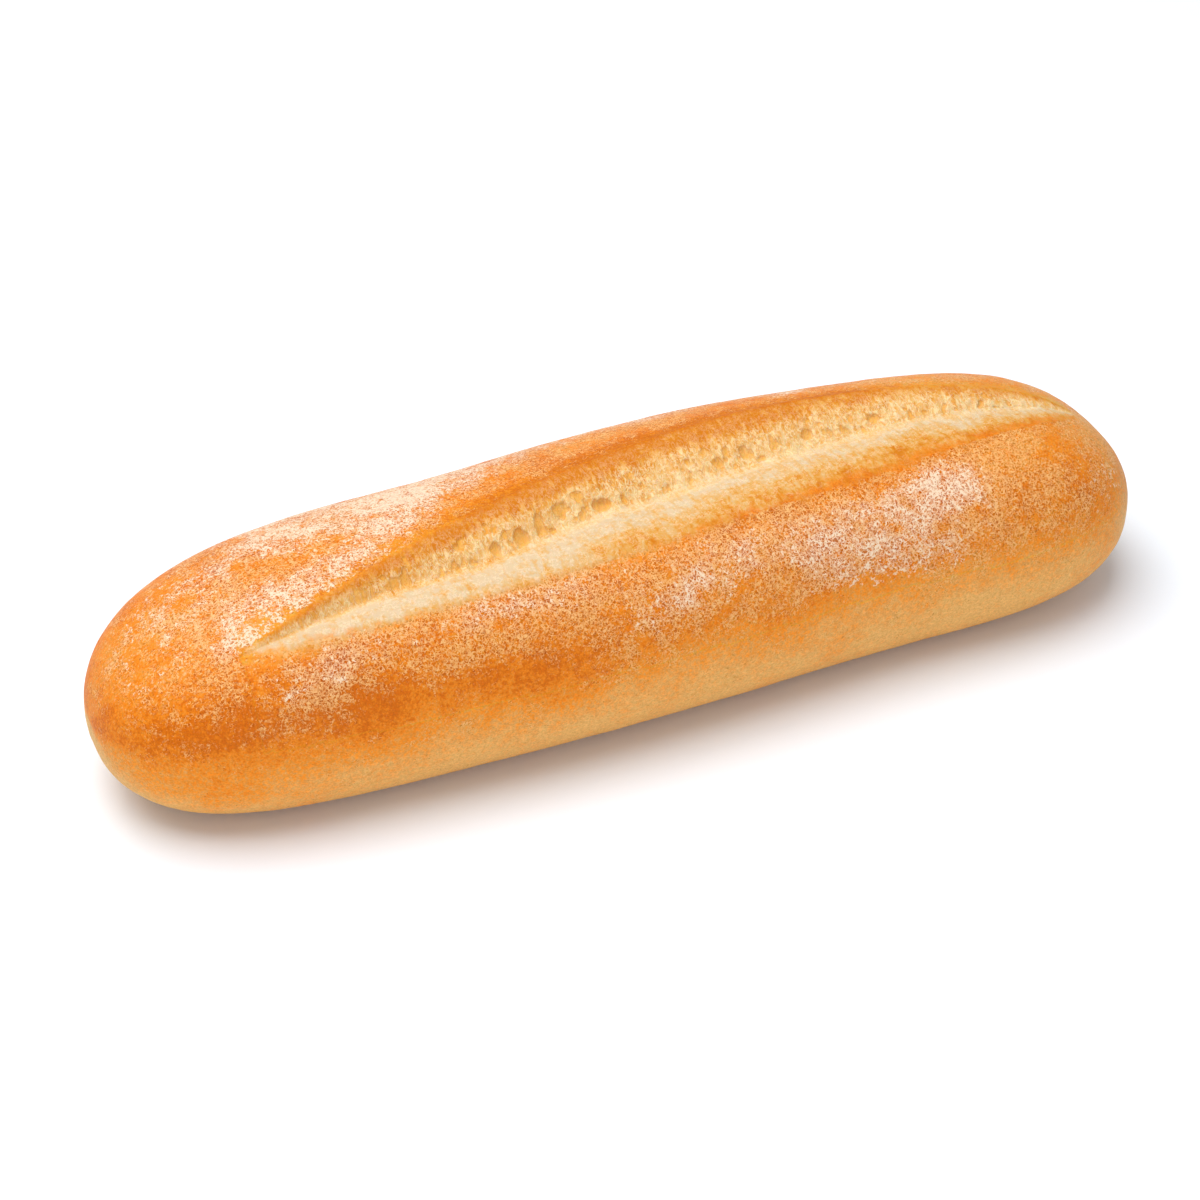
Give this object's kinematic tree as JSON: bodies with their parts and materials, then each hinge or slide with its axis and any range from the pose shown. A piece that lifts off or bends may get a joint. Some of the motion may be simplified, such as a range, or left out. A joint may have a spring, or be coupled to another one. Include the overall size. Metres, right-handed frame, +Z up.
{
  "type": "long bread roll",
  "caption": "Long white bread roll with a golden crust, a light dusting of flour and a score that opened along its top as it baked.",
  "frame": {"origin": "on the flat base, under the middle of the roll's box", "axes": "+X along the roll, +Z up, -Y towards the side that the low lip of the score faces"},
  "size_m": [0.25, 0.0733, 0.0517],
  "materials": {
    "crust": "golden, thin and slightly glossy baked crust, paler at the foot, with torn cream-coloured crumb in the score and matt white flour on the shoulders"
  },
  "bodies": {
    "root": {"bread_roll": "crust"}
  },
  "joints": []
}
